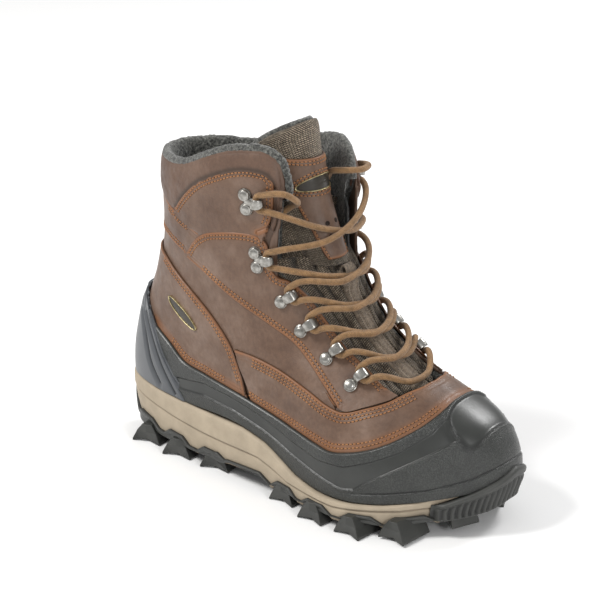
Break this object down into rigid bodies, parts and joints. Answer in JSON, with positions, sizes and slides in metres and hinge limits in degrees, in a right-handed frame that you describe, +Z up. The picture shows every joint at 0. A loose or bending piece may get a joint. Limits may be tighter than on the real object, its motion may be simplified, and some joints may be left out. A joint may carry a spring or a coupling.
{
  "type": "insulated hunting boot",
  "caption": "Right insulated pac-style hunting boot with a leather upper, rubber lower shell, lugged sole, padded hinged tongue, speed hooks and loops, and a tucked lace.",
  "frame": {"origin": "centre of the bounding box in x and y, on the ground under the lugs", "axes": "+X from the heel to the toe, +Y to the inner side of the foot, +Z up"},
  "size_m": [0.3069, 0.1185, 0.2449],
  "materials": {
    "leather": "oiled full-grain leather with burnished edges",
    "collar_leather": "soft padded leather",
    "shell_rubber": "finely stippled grey rubber",
    "heel_rubber": "smooth blue-grey rubber",
    "sole_rubber": "matte dark outsole rubber",
    "midsole_foam": "matte beige moulded foam",
    "felt": "dark speckled felt",
    "insulation": "pale lofted fibre",
    "textile": "coarse woven textile",
    "lace_cord": "round braided lace",
    "nickel": "antique nickel",
    "badge": "plain debossed badge, no lettering",
    "steel": "crimped metal lace tip",
    "board": "stiff fibre board"
  },
  "bodies": {
    "boot": {"outsole": "sole_rubber", "midsole": "midsole_foam", "insole_board": "board", "footbed": "insulation", "rubber_shell": "shell_rubber", "heel_stabiliser": "heel_rubber", "toe_bumper": "sole_rubber", "heel_panel": "leather", "vamp": "leather", "lateral_quarter": "leather", "lateral_facing": "leather", "lateral_cuff": "leather", "heel_badge_lateral": "badge", "medial_quarter": "leather", "medial_facing": "leather", "medial_cuff": "leather", "heel_badge_medial": "badge", "achilles_strap": "leather", "collar": "collar_leather", "heel_counter": "board", "lining": "felt", "insulation": "insulation", "tongue_lower": "textile", "tongue_webbing": "textile", "lateral_gusset": "textile", "medial_gusset": "textile", "lateral_hook_1": "nickel", "lateral_rivet_1a": "nickel", "lateral_rivet_1b": "nickel", "lateral_hook_2": "nickel", "lateral_rivet_2a": "nickel", "lateral_rivet_2b": "nickel", "lateral_loop_3": "nickel", "lateral_rivet_3": "nickel", "lateral_loop_4": "nickel", "lateral_rivet_4": "nickel", "lateral_loop_5": "nickel", "lateral_rivet_5": "nickel", "lateral_loop_6": "nickel", "lateral_rivet_6": "nickel", "medial_hook_1": "nickel", "medial_rivet_1a": "nickel", "medial_rivet_1b": "nickel", "medial_hook_2": "nickel", "medial_rivet_2a": "nickel", "medial_rivet_2b": "nickel", "medial_loop_3": "nickel", "medial_rivet_3": "nickel", "medial_loop_4": "nickel", "medial_rivet_4": "nickel", "medial_loop_5": "nickel", "medial_rivet_5": "nickel", "medial_loop_6": "nickel", "medial_rivet_6": "nickel", "lace": "lace_cord", "aglet_lateral": "steel", "aglet_medial": "steel"},
    "tongue": {"tongue_upper": "textile", "tongue_overlay": "leather", "tongue_badge": "badge"}
  },
  "joints": [
    {"name": "tongue_fold", "type": "hinge", "parent": "boot", "child": "tongue", "pos_m": [0.01667, 0.00685, 0.14854], "axis": [0, -1, 0], "range_deg": [0, 14], "stiffness_Nm_per_rad": 0.3, "springref_deg": -8.59}
  ]
}
